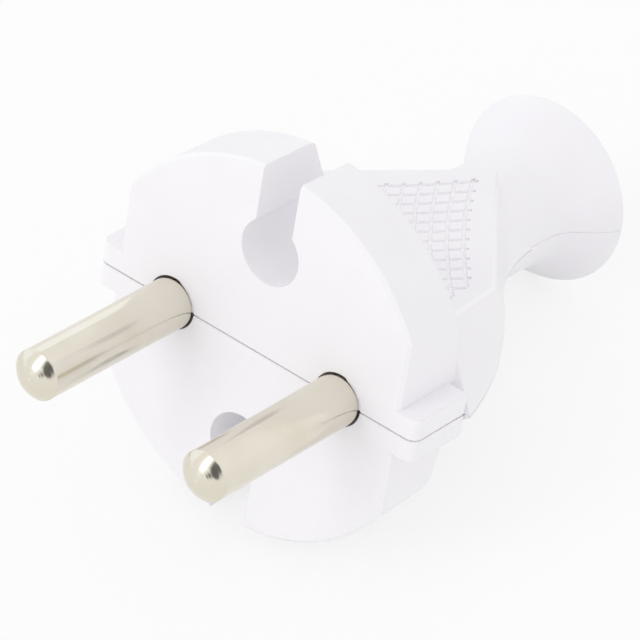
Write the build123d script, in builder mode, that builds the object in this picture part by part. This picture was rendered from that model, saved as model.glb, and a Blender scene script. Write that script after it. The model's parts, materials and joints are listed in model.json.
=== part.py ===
"""Two-pole mains plug with round pins: a rewirable plug in two moulded half shells.

The plug is drawn about its own parting plane and pin face, then lies as it comes to rest on a table,
on two corners of the lower keyway and on the rim of the cord bell. Sizes are in millimetres.
"""

import os
from math import atan2, cos, radians, sin, sqrt, tan

from build123d import *

os.makedirs("parts", exist_ok=True)

# Contact pins, turned down from square brass bar, with a relief where they leave the face
pin_diameter = 4.8
pin_spacing = 19.0
pin_length = 19.0
pin_dome = 1.1
pin_relief = 0.35
pin_relief_reach = 0.15
terminal_width = 6.0
terminal_length = 11.0
terminal_bevel = 0.5
wire_hole = 3.2
wire_hole_depth = 7.5

# Pin face: a round plate with side flats, ears and two keyways
face_radius = 18.27
rim_draft = 0.25
face_flats = 31.86
rim_depth = 6.85
back_run = 2.65
back_angle = 27.5
edge_bevel = 0.3
ear_reach = 2.15
ear_height = 4.4
ear_depth = 7.0
ear_corner = 1.0
keyway_width = 4.06
keyhole_diameter = 6.32
keyhole_height = 10.23

# Grip behind the pin face: half widths at the parting plane and on its flat, and the runs between them
grip_thickness = 11.24
shoulder_width = 18.8
side_width = 17.45
side_run = 4.9
hip_width = 12.4
hip_run = 8.75
waist_width = 6.1
waist_run = 7.3
neck_width = 5.8
neck_run = 5.05
flat_shoulder = 13.0
flat_corner = 12.2
flat_corner_run = 10.8
flat_waist = 3.3
flat_waist_run = 11.7
flat_tip = 0.9
crease_drop = 0.35
crease_inset = 0.45

# Hatching on the flats of the grip: grooves in shallow arcs along both of its tapering edges
hatch_curve = 70.0
hatch_sides = 84
hatch_inset = 3.05
hatch_overrun = 0.5
hatch_pitch = 1.5
hatch_width = 0.32
hatch_depth = 0.2
hatch_margin = 1.8
hatch_front = 1.5

# Neck and cord bell
throat_radius = 5.58
throat_run = 3.2
bell_turn_radius = 6.75
bell_turn_run = 2.75
bell_radius = 9.1
bell_run = 3.65
bell_slope = 27.3
cord_bore = 7.8
cord_mouth = 14.2
cord_mouth_depth = 3.4

# Inside the shells
face_wall = 2.8
grip_wall = 1.3
chamber_rib = 1.4
chamber_side = 1.3
chamber_room = 3.6
parting_gap = 0.16
pin_clearance = 0.15
terminal_clearance = 0.1
wire_notch = 4.2

# Screws: one in each terminal, one that holds the shells together, two on the cord clamp
terminal_screw = 2.9
terminal_screw_head = 4.8
terminal_screw_head_height = 1.2
terminal_screw_inset = 3.6
housing_screw = 2.9
housing_screw_head = 5.2
housing_screw_head_height = 1.7
housing_screw_sink = 2.2
housing_screw_depth = 14.0
housing_boss = 7.0
insert_diameter = 5.0
insert_length = 3.6
insert_gap = 0.5
clamp_screw = 2.4
clamp_screw_head = 3.6
clamp_screw_head_height = 1.3
clamp_screw_length = 4.2
screw_clearance = 0.1
screw_slot = 0.7

# Cord clamp: a pressed strap that crosses the cord on two bosses of the lower shell
clamp_gap = 0.3
clamp_width = 4.0
clamp_tab = 1.8
clamp_sheet = 1.0
clamp_arch = 2.6
clamp_seat = 0.8
clamp_corner = 0.8
clamp_boss = 3.8

# Depths behind the pin face, and radii that follow from the sizes
rim_radius = face_radius - rim_draft
back_depth = rim_depth + back_run
side_depth = ear_depth + side_run
hip_depth = side_depth + hip_run
waist_depth = hip_depth + waist_run
neck_depth = waist_depth + neck_run
throat_depth = neck_depth + throat_run
bell_turn_depth = throat_depth + bell_turn_run
bell_depth = bell_turn_depth + bell_run

# How the plug lies: two corners of the lower keyway and the rim of the bell touch the table
foot_depth = rim_depth - edge_bevel
foot_radius = sqrt((rim_radius + edge_bevel * rim_draft / rim_depth) ** 2 - (keyway_width / 2) ** 2)
lying_angle = atan2(foot_radius - bell_radius, bell_depth - edge_bevel - foot_depth)
dome_radius = ((pin_diameter / 2) ** 2 + pin_dome**2) / (2 * pin_dome)
face_height = foot_depth * sin(lying_angle) + foot_radius * cos(lying_angle)
pin_reach = (pin_length - dome_radius) * cos(lying_angle) + dome_radius
bell_reach = bell_depth * cos(lying_angle) + (bell_radius - edge_bevel) * sin(lying_angle)
face_setback = (pin_reach - bell_reach) / 2

# The plug's own planes: parting plane, pin face, and the middle plane along its length
parting = Plane(
    origin=(0, face_setback, face_height),
    x_dir=(1, 0, 0),
    z_dir=(0, sin(lying_angle), cos(lying_angle)),
)
face = Plane(parting.origin, x_dir=parting.x_dir, z_dir=-parting.y_dir)
middle = Plane(parting.origin, x_dir=parting.y_dir, z_dir=parting.x_dir)
plug_axis = Axis(parting.origin, parting.y_dir)

# Levels and places that several pieces share
grip_half = grip_thickness / 2
chamber_half = grip_half - grip_wall
terminal_half = terminal_width / 2
terminal_end = face_wall + terminal_length
terminal_screw_depth = terminal_end - terminal_screw_inset
chamber_start = terminal_end + terminal_clearance + chamber_rib
clamp_depth = housing_screw_depth + housing_boss / 2 + clamp_gap + clamp_width / 2
clamp_screw_spacing = 2 * (clamp_arch + clamp_sheet) + clamp_screw_head
clamp_length = clamp_screw_spacing + 2 * clamp_tab
chamber_end = clamp_depth + clamp_width / 2 + chamber_room
housing_seat = grip_half - housing_screw_sink
strap_top = clamp_sheet - clamp_seat
pin_offsets = {"left": -pin_spacing / 2, "right": pin_spacing / 2}
clamp_offsets = {"left": -clamp_screw_spacing / 2, "right": clamp_screw_spacing / 2}


def spot(across, depth, height, up=1):
    """Plane at a place in the plug, level with the parting plane and facing up or down."""
    return Plane(
        parting.from_local_coords((across, depth, height)),
        x_dir=parting.x_dir,
        z_dir=parting.z_dir * up,
    )


def behind_face(depth):
    """Plane parallel to the pin face, that far inside the plug."""
    return face.offset(-depth)


# Grip seen from above: corners that its curved side is drawn towards, and corners of its flat
side_points = [
    Vector(shoulder_width, ear_depth),
    Vector(side_width, side_depth),
    Vector(hip_width, hip_depth),
    Vector(waist_width, waist_depth),
    Vector(neck_width, neck_depth),
]
flat_points = [
    Vector(flat_shoulder, ear_depth),
    Vector(flat_corner, ear_depth + flat_corner_run),
    Vector(flat_waist, ear_depth + flat_corner_run + flat_waist_run),
    Vector(flat_tip, neck_depth),
]


def grip_outline(rise, inset=0):
    """Grip at a share of the way up from the parting plane to its flat, drawn in by the inset."""
    ends = [
        side_points[0],
        (side_points[1] + side_points[2]) / 2,
        (side_points[2] + side_points[3]) / 2,
        side_points[4],
    ]
    for i in range(3):
        low = (ends[i], side_points[i + 1], ends[i + 1])
        high = (flat_points[i], (flat_points[i] + flat_points[i + 1]) / 2, flat_points[i + 1])
        Bezier(*(a + (b - a) * rise - Vector(inset, 0) for a, b in zip(low, high)))
    mirror(about=Plane.YZ)
    for low, high in ((side_points[0], flat_points[0]), (side_points[4], flat_points[3])):
        corner = low + (high - low) * rise - Vector(inset, 0)
        Line((-corner.X, corner.Y), (corner.X, corner.Y))


def flat_outline():
    """Flat of the grip: straight past the shoulder, then tapering to the neck."""
    Polyline(*flat_points)
    mirror(about=Plane.YZ)
    for corner in (flat_points[0], flat_points[3]):
        Line((-corner.X, corner.Y), (corner.X, corner.Y))


# Half of the grip, from the parting plane up to its flat, with a bevel along the crease
with BuildPart() as grip:
    with BuildSketch(parting):
        with BuildLine():
            grip_outline(0)
        make_face()
    with BuildSketch(parting.offset(grip_half - crease_drop)):
        with BuildLine():
            grip_outline(1 - crease_drop / grip_half)
        make_face()
    with BuildSketch(parting.offset(grip_half)):
        with BuildLine():
            grip_outline(1, crease_inset)
        make_face()
    loft(ruled=True)
    mirror(about=parting)

# Points beyond the tapering edges of the flat, about which the grooves run
hatch_centres = []
for side in (-1, 1):
    taper_start, taper_end = (Vector(side * corner.X, corner.Y) for corner in flat_points[1:3])
    across_taper = (taper_end - taper_start).normalized().rotate(Axis.Z, side * 90)
    hatch_centres.append((taper_start + taper_end) / 2 - across_taper * (hatch_curve - hatch_inset))

# Hatched area of a flat: short of its outline, and a little past the first groove at each tapering edge
with BuildSketch() as hatch_area:
    with BuildLine():
        flat_outline()
    make_face()
    offset(amount=-hatch_margin, kind=Kind.INTERSECTION)
    with Locations((0, back_depth + hatch_front)):
        Rectangle(
            2 * flat_corner,
            neck_depth,
            align=(Align.CENTER, Align.MIN),
            mode=Mode.INTERSECT,
        )
    with Locations(*hatch_centres):
        RegularPolygon(hatch_curve - hatch_overrun, hatch_sides, mode=Mode.SUBTRACT)

# Grooves on the upper flat: many-sided rings, the widest first, cut down to the hatched area
with BuildPart() as hatch:
    hatch_count = int(2 * flat_corner / hatch_pitch)
    for centre in hatch_centres:
        with BuildSketch(parting.offset(grip_half)):
            with Locations(centre):
                for groove in reversed(range(hatch_count)):
                    groove_radius = hatch_curve + groove * hatch_pitch
                    RegularPolygon(groove_radius + hatch_width / 2, hatch_sides)
                    RegularPolygon(groove_radius - hatch_width / 2, hatch_sides, mode=Mode.SUBTRACT)
            add(hatch_area.sketch, mode=Mode.INTERSECT)
        extrude(amount=hatch_depth, both=True)

# Outer form of the whole housing
with BuildPart() as housing:
    # Round plate with a conical back, flats at its sides and a keyway above and below the pins
    with BuildSketch(middle):
        back_radius = rim_radius - back_run / tan(radians(back_angle))
        with BuildLine():
            Polyline(
                (0, 0),
                (0, face_radius),
                (rim_depth, rim_radius),
                (back_depth, back_radius),
                (back_depth, 0),
                close=True,
            )
        make_face()
        chamfer(vertices().sort_by(Axis.Y)[-2:], length=edge_bevel)
    revolve(axis=plug_axis)
    with BuildSketch(parting):
        with Locations((0, back_depth / 2)):
            Rectangle(face_flats, back_depth)
        chamfer(vertices().group_by(Axis.Y)[0], length=edge_bevel)
    extrude(amount=face_radius, both=True, mode=Mode.INTERSECT)
    with BuildSketch(face):
        with GridLocations(0, 2 * keyhole_height, 1, 2):
            Circle(keyhole_diameter / 2)
        with GridLocations(0, keyhole_height + face_radius, 1, 2):
            Rectangle(keyway_width, face_radius - keyhole_height)
    extrude(amount=-back_depth, mode=Mode.SUBTRACT)

    # Ears that carry the parting line past the flats
    with BuildSketch(parting):
        with Locations((0, ear_depth / 2)):
            Rectangle(face_flats + 2 * ear_reach, ear_depth)
        fillet(vertices().group_by(Axis.Y)[0], radius=ear_corner)
    extrude(amount=ear_height / 2, both=True)

    # Grip, neck and bell
    add(grip.part)
    with BuildSketch(middle):
        neck_start = (hip_depth, throat_radius)
        throat = (throat_depth, throat_radius)
        bell_turn = (bell_turn_depth, bell_turn_radius)
        bell_rim = (bell_depth - edge_bevel, bell_radius)
        rim_tangent = (cos(radians(bell_slope)), sin(radians(bell_slope)))
        with BuildLine():
            Polyline((hip_depth, 0), neck_start, throat)
            Spline(throat, bell_turn, bell_rim, tangents=((1, 0), rim_tangent))
            Polyline(bell_rim, (bell_depth, bell_radius - edge_bevel), (bell_depth, 0), (hip_depth, 0))
        make_face()
    revolve(axis=plug_axis)

# Space inside the housing, the same in both halves: pin bores, terminal pockets, wiring chamber, throat
with BuildPart() as hollow:
    with BuildSketch(face):
        with GridLocations(pin_spacing, 0, 2, 1):
            Circle(pin_diameter / 2 + pin_clearance)
    extrude(amount=-face_wall)
    with BuildSketch(behind_face(face_wall)):
        with GridLocations(pin_spacing, 0, 2, 1):
            pocket_width = terminal_width + 2 * terminal_clearance
            Rectangle(pocket_width, pocket_width)
    extrude(amount=-terminal_length - terminal_clearance)
    with BuildSketch(behind_face(terminal_end)):
        with GridLocations(pin_spacing, 0, 2, 1):
            Rectangle(wire_notch, wire_notch)
    extrude(amount=terminal_end - chamber_start)
    with BuildSketch(parting):
        with BuildLine():
            flat_outline()
        make_face()
        offset(amount=-chamber_side, kind=Kind.INTERSECTION)
        with Locations((0, chamber_start)):
            Rectangle(
                2 * flat_corner,
                chamber_end - chamber_start,
                align=(Align.CENTER, Align.MIN),
                mode=Mode.INTERSECT,
            )
        with Locations((0, housing_screw_depth)):
            Circle(housing_boss / 2, mode=Mode.SUBTRACT)
    extrude(amount=chamber_half, both=True)
    with BuildSketch(middle):
        mouth_start = bell_depth - cord_mouth_depth
        with BuildLine():
            Polyline(
                (clamp_depth, 0),
                (clamp_depth, cord_bore / 2),
                (mouth_start, cord_bore / 2),
                (bell_depth, cord_mouth / 2),
                (bell_depth, 0),
                close=True,
            )
        make_face()
    revolve(axis=plug_axis)

# Threaded sleeve, pressed into the upper shell
with BuildPart() as housing_insert:
    with BuildSketch(spot(0, housing_screw_depth, 0)):
        Circle(insert_diameter / 2)
        Circle(housing_screw / 2 + screw_clearance / 2, mode=Mode.SUBTRACT)
    extrude(amount=insert_length)
housing_insert.part.label = "housing_insert"
export_step(housing_insert.part, "parts/housing_insert.step")


def shell_half(side, keep):
    """One moulded half: the housing on its side of the parting gap, hollowed, with its seat at the screw."""
    with BuildPart() as half:
        add(housing.part)
        split(bisect_by=parting.offset(side * parting_gap / 2), keep=keep)
        add(hollow.part, mode=Mode.SUBTRACT)
        with BuildSketch(spot(0, housing_screw_depth, 0, side)):
            Circle(housing_boss / 2)
        extrude(amount=parting_gap)
    return half.part


with BuildPart() as upper_shell:
    add(shell_half(1, Keep.TOP))
    with BuildSketch(parting):
        with GridLocations(pin_spacing, 0, 2, 1):
            with Locations((0, terminal_screw_depth)):
                well_width = terminal_screw_head + 2 * screw_clearance
                Rectangle(well_width, well_width)
    extrude(amount=terminal_half + terminal_screw_head_height + screw_clearance, mode=Mode.SUBTRACT)
    with BuildSketch(spot(0, housing_screw_depth, 0)):
        Circle(insert_diameter / 2)
    extrude(amount=insert_length, mode=Mode.SUBTRACT)
    add(hatch.part, mode=Mode.SUBTRACT)
upper_shell.part.label = "upper_shell"
export_step(upper_shell.part, "parts/upper_shell.step")

# The lower flat is hatched the same way, around a plain spot at the housing screw
with BuildPart() as lower_hatch:
    mirror(hatch.part, about=parting)
    with BuildSketch(spot(0, housing_screw_depth, -grip_half)):
        Circle(housing_boss / 2 + hatch_width)
    extrude(amount=hatch_depth, both=True, mode=Mode.SUBTRACT)

with BuildPart() as lower_shell:
    add(shell_half(-1, Keep.BOTTOM))
    add(lower_hatch.part, mode=Mode.SUBTRACT)
    with BuildSketch(parting.offset(-clamp_seat)):
        with Locations((0, clamp_depth)):
            with GridLocations(clamp_screw_spacing, 0, 2, 1):
                Rectangle(clamp_boss, clamp_boss)
    extrude(amount=clamp_seat - chamber_half)
    for across in clamp_offsets.values():
        with Locations(spot(across, clamp_depth, -clamp_seat)):
            Hole(radius=clamp_screw / 2 + screw_clearance / 2, depth=clamp_screw_length - clamp_sheet / 2)
    with Locations(spot(0, housing_screw_depth, -grip_half, -1)):
        CounterBoreHole(
            radius=housing_screw / 2 + screw_clearance,
            counter_bore_radius=housing_screw_head / 2 + screw_clearance,
            counter_bore_depth=housing_screw_sink,
            depth=grip_half,
        )
lower_shell.part.label = "lower_shell"
export_step(lower_shell.part, "parts/lower_shell.step")

# Contact pins: a turned shank with a domed tip in front of a square terminal
for side, across in pin_offsets.items():
    pin_middle = middle.offset(across)
    pin_axis = Axis(pin_middle.origin, parting.y_dir)
    pin_radius = pin_diameter / 2
    with BuildPart() as pin:
        with BuildSketch(pin_middle):
            with BuildLine():
                Polyline(
                    (face_wall, 0),
                    (face_wall, pin_radius - pin_relief),
                    (-pin_relief_reach, pin_radius - pin_relief),
                    (-pin_relief_reach, pin_radius),
                    (pin_dome - pin_length, pin_radius),
                )
                RadiusArc((pin_dome - pin_length, pin_radius), (-pin_length, 0), -dome_radius)
                Line((-pin_length, 0), (face_wall, 0))
            make_face()
        revolve(axis=pin_axis)
        with BuildSketch(behind_face(face_wall)):
            with Locations((across, 0)):
                Rectangle(terminal_width, terminal_width)
        extrude(amount=-terminal_length)
        terminal_rear = faces().sort_by(plug_axis)[-1]
        chamfer(terminal_rear.edges(), length=terminal_bevel)
        with BuildSketch(behind_face(terminal_end)):
            with Locations((across, 0)):
                Circle(wire_hole / 2)
        extrude(amount=wire_hole_depth, mode=Mode.SUBTRACT)
        with Locations(spot(across, terminal_screw_depth, terminal_half)):
            Hole(radius=terminal_screw / 2 + screw_clearance / 2, depth=terminal_half)
    pin.part.label = f"pin_{side}"
    export_step(pin.part, f"parts/pin_{side}.step")


def slotted_screw(seat, diameter, length, head, head_height):
    """Slotted cheese-head screw with the underside of its head on the seat plane."""
    with BuildPart() as screw:
        with BuildSketch(seat):
            Circle(head / 2)
        extrude(amount=head_height)
        with BuildSketch(seat.offset(head_height)):
            Rectangle(head, screw_slot)
        extrude(amount=-screw_slot, mode=Mode.SUBTRACT)
        with BuildSketch(seat):
            Circle(diameter / 2)
        extrude(amount=-length)
    return screw.part


for side, across in pin_offsets.items():
    with BuildPart() as terminal_fixing:
        add(
            slotted_screw(
                spot(across, terminal_screw_depth, terminal_half),
                terminal_screw,
                terminal_half,
                terminal_screw_head,
                terminal_screw_head_height,
            )
        )
    terminal_fixing.part.label = f"terminal_screw_{side}"
    export_step(terminal_fixing.part, f"parts/terminal_screw_{side}.step")

# Cord clamp: flat tabs on the bosses and an arch over the cord
with BuildPart() as cord_clamp:
    with BuildSketch(behind_face(clamp_depth - clamp_width / 2)):
        with Locations((0, -clamp_seat)):
            Rectangle(clamp_length, clamp_sheet, align=(Align.CENTER, Align.MIN))
            Circle(clamp_arch + clamp_sheet)
            Circle(clamp_arch, mode=Mode.SUBTRACT)
            Rectangle(
                clamp_length,
                clamp_arch + clamp_sheet,
                align=(Align.CENTER, Align.MAX),
                mode=Mode.SUBTRACT,
            )
    extrude(amount=-clamp_width)
    tab_corners = edges().filter_by(Axis(parting.origin, parting.z_dir)).group_by(Axis.X)
    chamfer(tab_corners[0] + tab_corners[-1], length=clamp_corner)
    for across in clamp_offsets.values():
        with Locations(spot(across, clamp_depth, strap_top)):
            Hole(radius=clamp_screw / 2 + screw_clearance, depth=clamp_sheet)
cord_clamp.part.label = "cord_clamp"
export_step(cord_clamp.part, "parts/cord_clamp.step")

for side, across in clamp_offsets.items():
    with BuildPart() as clamp_fixing:
        add(
            slotted_screw(
                spot(across, clamp_depth, strap_top),
                clamp_screw,
                clamp_screw_length,
                clamp_screw_head,
                clamp_screw_head_height,
            )
        )
    clamp_fixing.part.label = f"cord_clamp_screw_{side}"
    export_step(clamp_fixing.part, f"parts/cord_clamp_screw_{side}.step")

# Housing screw, from the underside into the sleeve
with BuildPart() as housing_fixing:
    add(
        slotted_screw(
            spot(0, housing_screw_depth, -housing_seat, -1),
            housing_screw,
            housing_seat + insert_length - insert_gap,
            housing_screw_head,
            housing_screw_head_height,
        )
    )
housing_fixing.part.label = "housing_screw"
export_step(housing_fixing.part, "parts/housing_screw.step")
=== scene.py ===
"""Looks of a two-pole mains plug with round pins, as it lies on a white table.

The sections follow the plug as it is put together: lower shell with its tongue, pins, screws and cord clamp,
upper shell with its lips, and the screw that closes it. The table, light and camera come last. Lengths are in
metres, and grains, cells and clouds are counted in a metre.
"""

import json
import math

import bmesh
import bpy
import numpy as np
from mathutils import Matrix, Quaternion, Vector


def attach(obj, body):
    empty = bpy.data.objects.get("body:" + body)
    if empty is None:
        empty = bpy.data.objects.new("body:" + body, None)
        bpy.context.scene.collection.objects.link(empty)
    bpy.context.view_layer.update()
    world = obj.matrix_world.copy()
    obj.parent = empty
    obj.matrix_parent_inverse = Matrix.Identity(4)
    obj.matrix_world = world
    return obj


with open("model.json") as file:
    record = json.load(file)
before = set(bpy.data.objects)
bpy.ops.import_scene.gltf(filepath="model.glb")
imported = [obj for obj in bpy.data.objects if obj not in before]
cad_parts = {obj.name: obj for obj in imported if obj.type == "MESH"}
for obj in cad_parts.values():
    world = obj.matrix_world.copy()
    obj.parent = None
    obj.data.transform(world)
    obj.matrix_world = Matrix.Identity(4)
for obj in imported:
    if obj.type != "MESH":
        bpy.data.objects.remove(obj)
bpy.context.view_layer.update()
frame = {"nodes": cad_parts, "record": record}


# Lower shell
# One of two half shells, moulded from white thermosetting powder in a polished mould. It comes out smooth,
# hard and slightly glossy, with edges only just rounded. Everything else is laid into it, so it comes first.

PIN_ROOT_GAP = 0.00015
mounts = {mount["name"]: mount for mount in frame["record"]["mounts"]}
left_pin = Vector(mounts["pin_left"]["pos_m"])
right_pin = Vector(mounts["pin_right"]["pos_m"])
pin_half = mounts["pin_left"]["dims"]["length_mm"] / 1000 / 2

# The plug's own axes: across its pins, inwards from its pin face, and upwards from its joint
across = (right_pin - left_pin).normalized()
inward = Vector(mounts["cord_entry"]["axis"])
upward = across.cross(inward)
plug = Matrix((across, inward, upward)).transposed().to_4x4()
plug.translation = (left_pin + right_pin) / 2 + inward * (pin_half + PIN_ROOT_GAP)

EDGE_ROUND = 0.00006
EDGE_SAMPLES = 8
NOISE_RANGE = (0.3, 0.7)
SHELL_IOR = 1.5
SHELL_SPECULAR = 0.2
SHELL_CLOUDS = 180
SHELL_SHADES = ((0.93, 0.915, 0.945, 1), (0.945, 0.93, 0.96, 1))
SHELL_GRAIN = 700
SHELL_ROUGHNESS = (0.3, 0.42)
PEEL_GRAIN = 1600
PEEL_DEPTH = 0.000004
SPECK_CELLS = 210.0
SPECK_RADIUS = 0.025
SPECK_PATCHES = 90
SPECK_RANGE = (0.5, 0.6)
SPECK_STRENGTH = 0.35
SPECK_GREY = (0.45, 0.43, 0.42, 1)

# Painted light: a lighter white in the joint's gap and in the grip's grooves, between these heights and
# depths, that weakens the shade which falls in them
PAINTED_GAP_LIGHT = (0.98, 0.965, 0.995, 1)
JOINT_HALF = 0.000081
GROOVE_FLOOR = 0.005412
GRIP_FLAT = 0.005612
GROOVES_FRONT = 0.0105
GROOVES_BACK = 0.03


class Signal:
    """A value, colour or vector that changes over a surface: one socket of a node tree."""

    def __init__(self, tree, socket):
        self.tree = tree
        self.socket = socket

    def node(self, kind, settings=None, sockets=None, output=0):
        """Add a node of that type: its settings are set first, then its sockets' values or links."""
        made = self.tree.nodes.new(kind)
        for name, value in (settings or {}).items():
            setattr(made, name, value)
        for name, value in (sockets or {}).items():
            if isinstance(value, Signal):
                self.tree.links.new(value.socket, made.inputs[name])
            else:
                made.inputs[name].default_value = value
        return Signal(self.tree, made.outputs[output])

    def math(self, operation, *values):
        """Math node on these values."""
        return self.node("ShaderNodeMath", {"operation": operation}, dict(enumerate(values)))

    def root(self):
        """Square root of this value."""
        return self.math("SQRT", self)

    def unsigned(self):
        """This value without its sign."""
        return self.math("ABSOLUTE", self)

    def larger(self, other):
        """This value or the other one, whichever is larger."""
        return self.math("MAXIMUM", self, other)

    def __add__(self, other):
        return self.math("ADD", self, other)

    def __radd__(self, other):
        return self.math("ADD", other, self)

    def __sub__(self, other):
        return self.math("SUBTRACT", self, other)

    def __rsub__(self, other):
        return self.math("SUBTRACT", other, self)

    def __mul__(self, other):
        return self.math("MULTIPLY", self, other)

    def __rmul__(self, other):
        return self.math("MULTIPLY", other, self)

    def __lt__(self, other):
        return self.math("LESS_THAN", self, other)

    def __gt__(self, other):
        return self.math("GREATER_THAN", self, other)

    def part(self, axis):
        """One coordinate of a vector: X, Y or Z."""
        return self.node("ShaderNodeSeparateXYZ", sockets={0: self}, output=axis)

    def noise(self, scale, detail=2.0, roughness=0.5):
        """Cloudy noise from 0 to 1 at this place, with that many features in a metre."""
        settings = {"noise_dimensions": "3D"}
        sockets = {"Vector": self, "Scale": scale, "Detail": detail, "Roughness": roughness}
        return self.node("ShaderNodeTexNoise", settings, sockets)

    def blend(self, first, second):
        """Colour that goes from the first to the second as this value goes from 0 to 1."""
        settings = {"data_type": "RGBA", "clamp_factor": True}
        return self.node("ShaderNodeMix", settings, {0: self, 6: first, 7: second}, output=2)

    def spread(self, low, high, to_low=0.0, to_high=1.0):
        """This value, taken from one range to another and kept within it, with soft ends."""
        settings = {"interpolation_type": "SMOOTHSTEP"}
        sockets = {"Value": self, "From Min": low, "From Max": high, "To Min": to_low, "To Max": to_high}
        return self.node("ShaderNodeMapRange", settings, sockets)


def finish_material(name, place, **constants):
    """Material with its shader's constants set, and the surface's place in the axes of one piece."""
    material = bpy.data.materials.new(name)
    material.use_nodes = True
    tree = material.node_tree
    shader = tree.nodes["Principled BSDF"]
    for socket, value in constants.items():
        shader.inputs[socket.replace("_", " ")].default_value = value
    turned = place.inverted()
    start = Signal(tree, shader.outputs[0])
    here = start.node("ShaderNodeTexCoord", output="Object")
    sockets = {"Vector": here, "Location": turned.translation, "Rotation": turned.to_euler()}
    here = start.node("ShaderNodeMapping", {"vector_type": "POINT"}, sockets)
    return material, here


def connect(here, socket, signal):
    """Feed a signal to one socket of the material's shader."""
    here.tree.links.new(signal.socket, here.tree.nodes["Principled BSDF"].inputs[socket])


def raise_relief(here, height, depth):
    """Round the material's edges a little, and raise a fine relief of that depth on it."""
    edges = here.node("ShaderNodeBevel", {"samples": EDGE_SAMPLES}, {"Radius": EDGE_ROUND})
    sockets = {"Height": height, "Distance": depth, "Strength": 1.0, "Normal": edges}
    connect(here, "Normal", here.node("ShaderNodeBump", sockets=sockets))


def coat(node, material):
    """Give a solid of the frame its finish."""
    solid = frame["nodes"][node]
    solid.data.materials.clear()
    solid.data.materials.append(material)


def moulded_white(name):
    """White moulding: faint clouds, rare specks, a fine orange peel, and a painted lighter white in its
    grooves and joint gap that weakens their shade.
    """
    material, here = finish_material(name, plug, IOR=SHELL_IOR, Specular_IOR_Level=SHELL_SPECULAR)
    clouds = here.noise(SHELL_CLOUDS, detail=3.0, roughness=0.6)
    colour = clouds.spread(*NOISE_RANGE).blend(*SHELL_SHADES)
    dots = here.node("ShaderNodeTexVoronoi", {"feature": "F1"}, {"Vector": here, "Scale": SPECK_CELLS})
    speck = (dots < SPECK_RADIUS) * here.noise(SPECK_PATCHES).spread(*SPECK_RANGE)
    colour = (speck * SPECK_STRENGTH).blend(colour, SPECK_GREY)
    height = here.part("Z").unsigned()
    depth = here.part("Y")
    # Painted light: the grip's grooves and the joint's gap get a lighter white that weakens the shade in them
    grooves = (height > GROOVE_FLOOR) * (height < GRIP_FLAT)
    grooves = grooves * (depth > GROOVES_FRONT) * (depth < GROOVES_BACK)
    connect(here, "Base Color", (grooves + (height < JOINT_HALF)).blend(colour, PAINTED_GAP_LIGHT))
    grain = here.noise(SHELL_GRAIN, detail=4.0, roughness=0.6)
    connect(here, "Roughness", grain.spread(*NOISE_RANGE, *SHELL_ROUGHNESS))
    raise_relief(here, here.noise(PEEL_GRAIN), PEEL_DEPTH)
    return material


shell_white = moulded_white("shell_white")
coat("lower_shell", shell_white)


# Joint tongue
# A low tongue that is moulded with the lower half and runs along the joint behind the ears. It fills the gap
# between the halves almost to the surface, so that only a hairline shows on the grip, neck and bell.

TONGUE_RECESS = 0.00005
TONGUE_WIDTH = 0.0005
TONGUE_HEIGHT = 0.00014
LINE_POINTS = 24

# Distance across and depth of the points that bend the grip's sides, in millimetres
SIDE_POINTS = np.array([(18.71, 7.0), (17.38, 11.9), (12.33, 20.65), (6.04, 27.95), (5.73, 33.0)]) / 1000

# Depth, radius and slope of the cord inlet's outside
THROAT = (0.0362, 0.00558, 0.0)
BELL_TURN = (0.03895, 0.00675, 0.86)
BELL_RIM = (0.0423, 0.0091, math.tan(math.radians(27.3)))


def bent_line(first, control, last):
    """Parabola between two points that are pulled to a third: (1-t)^2 first + 2t(1-t) control + t^2 last."""
    t = np.linspace(0, 1, LINE_POINTS)[:, None]
    return (1 - t) ** 2 * first + 2 * t * (1 - t) * control + t**2 * last


def flared_line(start, end):
    """Cubic from one depth, radius and slope to the next: Hermite's curve, as points of radius and depth."""
    t = np.linspace(0, 1, LINE_POINTS)
    run = end[0] - start[0]
    rise = t * t * (3 - 2 * t)
    radius = start[1] + (end[1] - start[1]) * rise
    radius = radius + run * (start[2] * t * (1 - t) ** 2 - end[2] * t * t * (1 - t))
    return np.column_stack((radius, start[0] + run * t))


def strip_solid(name, outer, inner, thickness, material, slot):
    """Closed strip of four lines, joined round as a grid: two edges, and both again a thickness away."""
    lines = np.stack((outer, inner, inner + thickness, outer + thickness))
    index = np.arange(lines[..., 0].size).reshape(lines.shape[:2])
    after = np.roll(index, -1, axis=0)
    walls = np.stack((index[:, :-1], index[:, 1:], after[:, 1:], after[:, :-1]), axis=-1).reshape(-1, 4)
    ends = np.stack((index[:, 0], index[:, -1]))
    turn = np.array(plug.to_3x3())
    points = lines.reshape(-1, 3) @ turn.T + np.array(plug.translation)
    mesh = bpy.data.meshes.new(name)
    mesh.from_pydata(points.tolist(), [], np.concatenate((walls, ends)).tolist())
    faces = bmesh.new()
    faces.from_mesh(mesh)
    bmesh.ops.recalc_face_normals(faces, faces=faces.faces)
    faces.to_mesh(mesh)
    faces.free()
    mesh.materials.append(material)
    piece = bpy.data.objects.new(name, mesh)
    bpy.context.scene.collection.objects.link(piece)
    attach(piece, "root")


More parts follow.
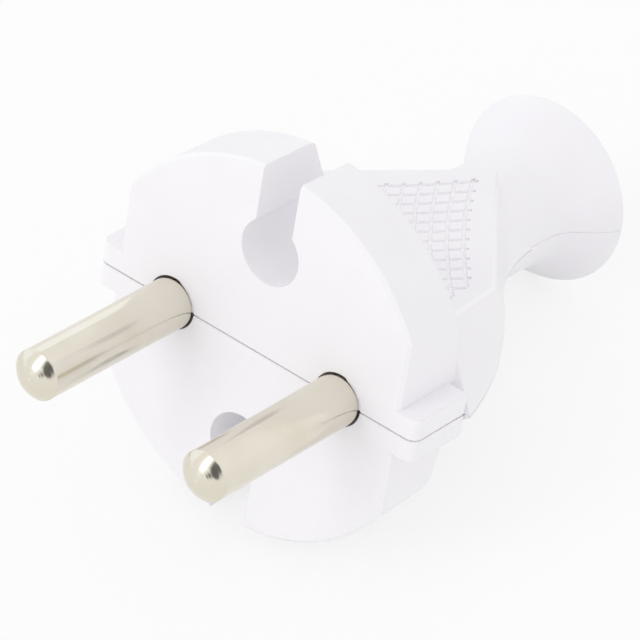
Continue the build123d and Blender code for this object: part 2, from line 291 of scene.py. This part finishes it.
# The joint's line is a run of parabolas along the grip and of cubics along the cord inlet. The tongue lies a
# little inside it, half above the joint's plane and half below.
middles = (SIDE_POINTS[1:-2] + SIDE_POINTS[2:-1]) / 2
grip_ends = np.concatenate((SIDE_POINTS[:1], middles, SIDE_POINTS[-1:]))
grip_bends = [bent_line(*line) for line in zip(grip_ends[:-1], SIDE_POINTS[1:-1], grip_ends[1:])]
joint_line = np.concatenate((*grip_bends, flared_line(THROAT, BELL_TURN), flared_line(BELL_TURN, BELL_RIM)))
level = np.full(len(joint_line), -TONGUE_HEIGHT / 2)
for side, across_sign in (("left", -1), ("right", 1)):
    edges = [
        np.column_stack((across_sign * (joint_line[:, 0] - inset), joint_line[:, 1], level))
        for inset in (TONGUE_RECESS, TONGUE_RECESS + TONGUE_WIDTH)
    ]
    strip_solid("joint_tongue_" + side, *edges, np.array((0, 0, TONGUE_HEIGHT)), shell_white, "shell")


# Contact pins
# Round pins turned from brass bar and nickel plated, with the square end of the bar left as the terminal.
# The tool leaves fine rings along the shank and round the domed tip, and a line where the dome begins. They
# lie in pockets of the lower shell.

RING_GRAIN = 5200.0
RING_DEPTH = 0.000002
DOME_RINGS = 14.0
DOME_LINE = 0.00008
DOME_LINE_DEPTH = 4.0
SMEAR_GRAIN = 2600
SMEAR_STRETCH = (1.0, 0.06, 1.0)
SMEAR_RANGE = (0.3, 0.75)
NICKEL_DRIFT = 160
NICKEL_SHADES = ((0.735, 0.69, 0.58, 1), (0.785, 0.745, 0.645, 1))
NICKEL_ROUGHNESS = (0.17, 0.21)


def turned_nickel(name, axis_point):
    """Bright nickel over turned brass: rings round the axis, faint smears along it, a warm drifting grey.

    The rings are a noise of depth less radius. They are stronger on the dome, and a groove marks its start.
    """
    centre = plug.copy()
    centre.translation = axis_point
    material, here = finish_material(name, centre, Metallic=1.0)
    along = here.part("Y")
    radius = (here.part("X") * here.part("X") + here.part("Z") * here.part("Z")).root()
    sockets = {"W": along - radius, "Scale": RING_GRAIN, "Detail": 3.0}
    rings = here.node("ShaderNodeTexNoise", {"noise_dimensions": "1D"}, sockets)
    from_dome = along + pin_half
    rings = rings * (1 + DOME_RINGS * (from_dome < 0))
    rings = rings - DOME_LINE_DEPTH * from_dome.unsigned().spread(0, DOME_LINE, 1, 0)
    drawn = here.node("ShaderNodeMapping", sockets={"Vector": here, "Scale": SMEAR_STRETCH})
    smears = drawn.noise(SMEAR_GRAIN, detail=3.0, roughness=0.6)
    connect(here, "Base Color", here.noise(NICKEL_DRIFT).spread(*NOISE_RANGE).blend(*NICKEL_SHADES))
    connect(here, "Roughness", smears.spread(*SMEAR_RANGE, *NICKEL_ROUGHNESS))
    raise_relief(here, rings, RING_DEPTH)
    return material


for name, axis_point in (("pin_left", left_pin), ("pin_right", right_pin)):
    coat(name, turned_nickel(name + "_nickel", axis_point))


# Terminal and clamp screws, and the cord clamp
# Zinc-plated steel. The screws are cold headed with a sawn slot, and the clamp is a strap pressed from sheet.
# Each terminal screw stands in its pin's square end, and the clamp is screwed down on two bosses of the
# lower shell.

CRYSTAL_CELLS = 2400.0
ZINC_SHADES = ((0.56, 0.575, 0.6, 1), (0.66, 0.67, 0.69, 1))
ZINC_GRAIN = 1500
ZINC_ROUGHNESS = (0.28, 0.42)


def zinc_plate(name):
    """Bright zinc: a cool grey in faint crystals of a few tenths of a millimetre, duller here and there."""
    material, here = finish_material(name, plug, Metallic=1.0)
    sockets = {"Vector": here, "Scale": CRYSTAL_CELLS}
    crystals = here.node("ShaderNodeTexVoronoi", {"feature": "F1"}, sockets, output="Color").part("X")
    connect(here, "Base Color", crystals.blend(*ZINC_SHADES))
    grain = here.noise(ZINC_GRAIN, detail=3.0, roughness=0.6)
    connect(here, "Roughness", grain.spread(*NOISE_RANGE, *ZINC_ROUGHNESS))
    return material


zinc = zinc_plate("zinc_plate")
for side in ("left", "right"):
    coat("terminal_screw_" + side, zinc)
    coat("cord_clamp_screw_" + side, zinc)
coat("cord_clamp", zinc)


# Upper shell and its insert
# The second half of the moulding, with the same finish, closes the plug on the plane of the pins. A turned
# brass sleeve is set into it and takes the closing screw.

BRASS_DRIFT = 300
BRASS_SHADES = ((0.72, 0.52, 0.24, 1), (0.83, 0.64, 0.33, 1))
BRASS_GRAIN = 2200
BRASS_ROUGHNESS = (0.25, 0.38)


def turned_brass(name):
    """Turned brass: warm yellow with a little drift, and a fine grain in its roughness."""
    material, here = finish_material(name, plug, Metallic=1.0)
    connect(here, "Base Color", here.noise(BRASS_DRIFT).blend(*BRASS_SHADES))
    grain = here.noise(BRASS_GRAIN, detail=3.0)
    connect(here, "Roughness", grain.spread(*NOISE_RANGE, *BRASS_ROUGHNESS))
    return material


coat("upper_shell", shell_white)
coat("housing_insert", turned_brass("turned_brass"))


# Lips of the pin holes
# A thin lip that is moulded with the upper half on the right of each pin, where the pin lies against its
# hole. The hole opens upwards from there, so the dark gap over the pin thins out down its side.

PIN_ACROSS = 0.0095
HOLE_RADIUS = 0.00255
LIP_WIDTH = 0.00036
LIP_THICK = 0.0004
LIP_START_DEGREES = 4
LIP_SWEEP_DEGREES = 74
LIP_END = 0.999

# The lip's width follows a quarter ellipse, from full at its lower end to almost nothing at its upper end
lip_share = np.linspace(0, LIP_END, LINE_POINTS)
lip_angle = np.radians(LIP_START_DEGREES + LIP_SWEEP_DEGREES * lip_share)
lip_radius = HOLE_RADIUS - LIP_WIDTH * np.sqrt(1 - lip_share**2)
for name, pin_across in (("pin_left_lip", -PIN_ACROSS), ("pin_right_lip", PIN_ACROSS)):
    rims = [
        np.column_stack((pin_across + radius * np.cos(lip_angle), 0 * lip_angle, radius * np.sin(lip_angle)))
        for radius in (HOLE_RADIUS, lip_radius)
    ]
    strip_solid(name, *rims, np.array((0, LIP_THICK, 0)), shell_white, "shell")


# Housing screw
# A zinc-plated slotted screw, driven from the underside through the lower shell into the sleeve. Its head
# lies below the lower flat of the grip.

coat("housing_screw", zinc)


# Table
# A plain white table top with no texture. It is a matt paint that mostly glows white to the camera and in
# reflections, so that it takes only a faint shadow of the plug.

TABLE_HALF = 2.0
TABLE_PAINT = (0.97, 0.97, 0.97, 1)
WHITE = (1, 1, 1, 1)
SHADOW_SHARE = 0.3


def flat_sheet(name, corners):
    """Flat sheet of the stage with these corners, in order round it."""
    mesh = bpy.data.meshes.new(name)
    mesh.from_pydata(corners, [], [range(len(corners))])
    sheet = bpy.data.objects.new(name, mesh)
    bpy.context.scene.collection.objects.link(sheet)
    return sheet


def bare_material(sheet, name):
    """Give a sheet a material with no shader yet, and return the socket that takes its surface."""
    material = bpy.data.materials.new(name)
    material.use_nodes = True
    tree = material.node_tree
    tree.nodes.clear()
    sheet.data.materials.append(material)
    return Signal(tree, tree.nodes.new("ShaderNodeOutputMaterial").inputs["Surface"])


def seen_ray(start):
    """1 for rays that show the background itself: straight to the camera, mirrored or through glass."""
    rays = ("Is Camera Ray", "Is Glossy Ray", "Is Transmission Ray")
    straight, mirrored, through = (start.node("ShaderNodeLightPath", output=ray) for ray in rays)
    return straight.larger(mirrored).larger(through)


ROUND = ((-1, -1), (1, -1), (1, 1), (-1, 1))
table = flat_sheet("table", [(TABLE_HALF * x, TABLE_HALF * y, 0) for x, y in ROUND])
surface = bare_material(table, "table_white")
paint = surface.node("ShaderNodeBsdfDiffuse", sockets={"Color": TABLE_PAINT})
glow = surface.node("ShaderNodeEmission", sockets={"Color": WHITE, "Strength": 1.0})
glow_share = seen_ray(surface) * (1 - SHADOW_SHARE)
mixed = surface.node("ShaderNodeMixShader", sockets={0: glow_share, 1: paint, 2: glow})
surface.tree.links.new(mixed.socket, surface.socket)


# Light
# Soft white light from all round, as in a light tent, with one tall soft lamp in front of the plug and to its
# left. Two cards show in reflections only, above all in the bright pins: a dark one in front on the right,
# and a cool one along the left.

ROOM_LEVEL = 0.9
LAMP_PLACE = (-0.22, -0.72, 0.32)
LAMP_AIM = (0, 0.01, 0)
LAMP_SIZE = (0.22, 0.7)
LAMP_POWER = 0.9
DARK_CORNERS = ((0.05, -0.6, -0.04), (0.5, -0.6, -0.04), (0.5, -0.6, 0.6), (0.05, -0.6, 0.6))
DARK_GLOW = 0.12
COOL_CORNERS = ((-0.6, -0.4, -0.1), (-0.6, 1.6, -0.1), (-0.6, 1.6, 0.7), (-0.6, -0.4, 0.7))
COOL_WHITE = (0.92, 0.95, 1, 1)
COOL_GLOW = 1.25


def stand(thing, place, aim):
    """Put a lamp or camera at a place in the plug's axes, upright and turned to a point there."""
    thing.location = plug @ Vector(place)
    thing.rotation_mode = "QUATERNION"
    thing.rotation_quaternion = (thing.location - plug @ Vector(aim)).to_track_quat("Z", "Y")
    bpy.context.scene.collection.objects.link(thing)


world = bpy.data.worlds.new("tent")
bpy.context.scene.world = world
world.use_nodes = True
backdrop = world.node_tree.nodes["Background"]
backdrop.inputs["Color"].default_value = WHITE
tent = Signal(world.node_tree, backdrop.inputs["Strength"])
tent_level = seen_ray(tent) * (1 - ROOM_LEVEL) + ROOM_LEVEL
tent.tree.links.new(tent_level.socket, tent.socket)

lamp = bpy.data.objects.new("key", bpy.data.lights.new("key", "AREA"))
lamp.data.shape = "RECTANGLE"
lamp.data.size, lamp.data.size_y = LAMP_SIZE
lamp.data.energy = LAMP_POWER
stand(lamp, LAMP_PLACE, LAMP_AIM)

cards = (("dark_card", DARK_CORNERS, WHITE, DARK_GLOW), ("cool_card", COOL_CORNERS, COOL_WHITE, COOL_GLOW))
for name, corners, colour, strength in cards:
    card = flat_sheet(name, [plug @ Vector(corner) for corner in corners])
    card.visible_camera = False
    card.visible_diffuse = False
    card.visible_shadow = False
    surface = bare_material(card, name + "_paint")
    glow = surface.node("ShaderNodeEmission", sockets={"Color": colour, "Strength": strength})
    surface.tree.links.new(glow.socket, surface.socket)


# Camera
# A long lens in front of the pins, above and to the right, with the plug turned about as the photograph
# has it.

CAMERA_PLACE = (0.22189, -0.32156, 0.25979)
CAMERA_AIM = (0.00326, 0.00456, 0.003016)
CAMERA_ROLL = math.radians(-0.8)
CAMERA_LENS = 302.45
camera = bpy.data.objects.new("camera", bpy.data.cameras.new("camera"))
camera.data.lens = CAMERA_LENS
stand(camera, CAMERA_PLACE, CAMERA_AIM)
camera.rotation_quaternion = camera.rotation_quaternion @ Quaternion((0, 0, 1), CAMERA_ROLL)
bpy.context.scene.camera = camera
bpy.context.scene.view_settings.view_transform = "Standard"
